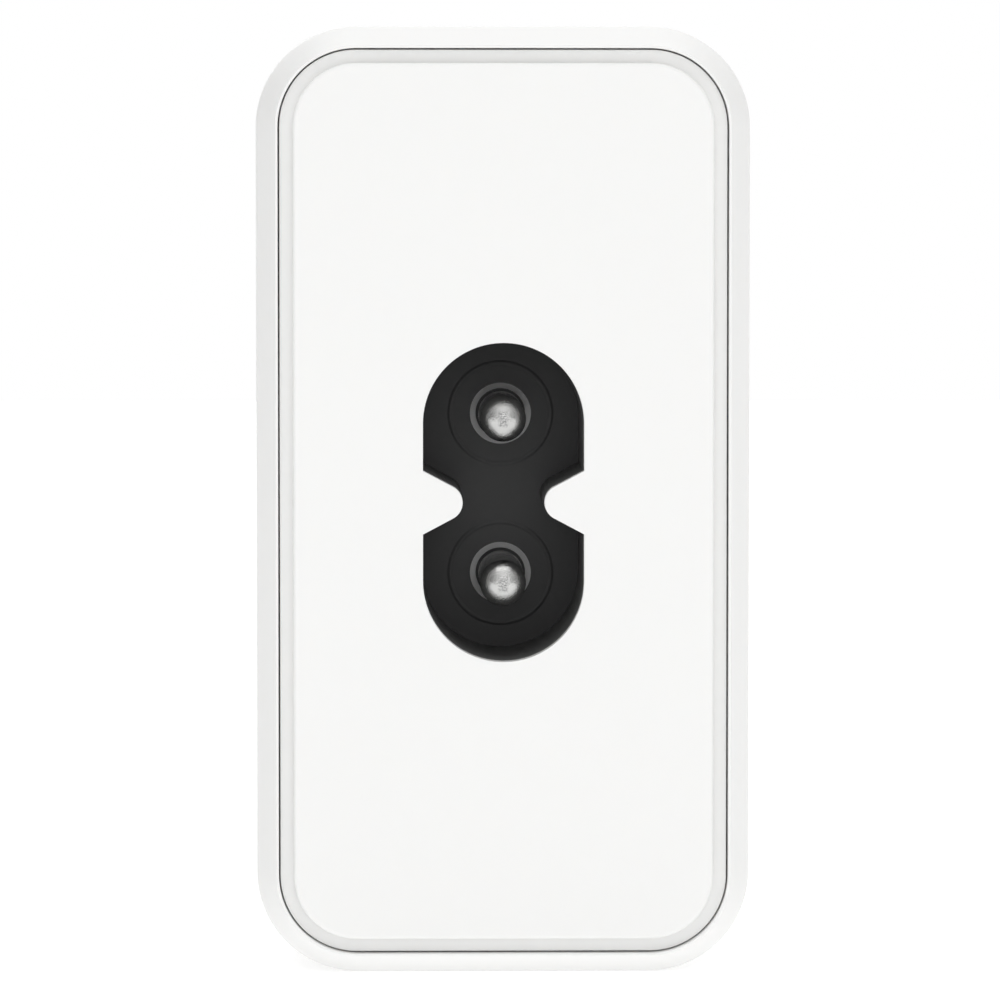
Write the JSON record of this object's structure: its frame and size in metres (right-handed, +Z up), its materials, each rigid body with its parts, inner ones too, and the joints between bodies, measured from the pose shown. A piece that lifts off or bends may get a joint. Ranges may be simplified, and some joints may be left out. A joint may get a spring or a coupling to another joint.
{
  "type": "power over ethernet injector",
  "caption": "Compact white mains power injector block in a rounded rectangular sleeve, with a figure-eight mains inlet at one end and modular network jacks and a status light at the other.",
  "frame": {"origin": "middle of the underside, on the surface it stands on", "axes": "+X across the narrow width, away from the board; +Y from the mains inlet's end to the network jacks' end; +Z up"},
  "size_m": [0.0258, 0.11, 0.0495],
  "materials": {
    "sleeve_plastic": "satin white moulding",
    "plate_plastic": "satin white moulding",
    "inlet_plastic": "black moulding, satin",
    "pin_nickel": "nickel-plated brass, bright",
    "jack_plastic": "black moulding, satin",
    "jack_shield": "nickel-plated sheet",
    "contact_gold": "gold-plated wire",
    "pipe_clear": "clear polycarbonate, polished",
    "led_lens": "tinted diffused lens",
    "lead_tin": "tinned copper",
    "board_laminate": "glass-epoxy laminate, green mask",
    "fuse_body": "black moulded can",
    "varistor_coat": "blue epoxy coat",
    "thermistor_coat": "dark green epoxy coat",
    "ceramic_coat": "light blue epoxy coat",
    "film_box": "yellow moulded box",
    "ferrite": "sintered ferrite",
    "ring_coat": "ferrite ring, green epoxy coat",
    "copper_wire": "enamelled copper wire",
    "former_plastic": "black phenolic moulding",
    "tape_film": "yellow polyester tape",
    "package_epoxy": "moulded epoxy",
    "opto_body": "white moulded epoxy",
    "can_sleeve": "aluminium can in a dark shrink sleeve",
    "seal_rubber": "black rubber bung",
    "sink_aluminium": "plain rolled sheet",
    "screw_steel": "zinc-plated steel",
    "sheet_film": "white insulation film"
  },
  "bodies": {
    "root": {"bridge_rectifier": "package_epoxy", "bulk_capacitor_leads": "lead_tin", "bulk_capacitors": "can_sleeve", "capacitor_seals": "seal_rubber", "choke_base": "former_plastic", "choke_core": "ring_coat", "choke_windings": "copper_wire", "controller_chip_leads": "lead_tin", "fuse": "fuse_body", "heat_sink_nuts": "screw_steel", "heat_sink_screws": "screw_steel", "housing_sleeve": "sleeve_plastic", "inlet_end_plate": "plate_plastic", "inlet_insulator": "inlet_plastic", "inrush_thermistor": "thermistor_coat", "insulation_sheet": "sheet_film", "lan_jack_contacts": "contact_gold", "lan_jack_housing": "jack_plastic", "lan_jack_shield": "jack_shield", "led_holder": "former_plastic", "light_pipe": "pipe_clear", "line_pin": "pin_nickel", "line_power_controller_chip": "package_epoxy", "line_transformer_leads": "lead_tin", "line_transformer_module": "package_epoxy", "main_board": "board_laminate", "mains_controller_chip": "package_epoxy", "mains_side_leads": "lead_tin", "neutral_pin": "pin_nickel", "optocoupler": "opto_body", "output_capacitors": "can_sleeve", "output_choke_core": "ferrite", "output_choke_winding": "copper_wire", "output_end_plate": "plate_plastic", "output_rectifier": "package_epoxy", "output_rectifier_frame": "lead_tin", "output_rectifier_heat_sink": "sink_aluminium", "output_side_leads": "lead_tin", "poe_jack_contacts": "contact_gold", "poe_jack_housing": "jack_plastic", "poe_jack_shield": "jack_shield", "power_switch": "package_epoxy", "power_switch_frame": "lead_tin", "power_switch_heat_sink": "sink_aluminium", "status_led": "led_lens", "status_led_leads": "lead_tin", "transformer_bobbin": "former_plastic", "transformer_core_halves": "ferrite", "transformer_pins": "lead_tin", "transformer_tape": "tape_film", "transformer_winding": "copper_wire", "varistor": "varistor_coat", "x_capacitor": "film_box", "y_capacitor": "ceramic_coat"}
  },
  "joints": []
}
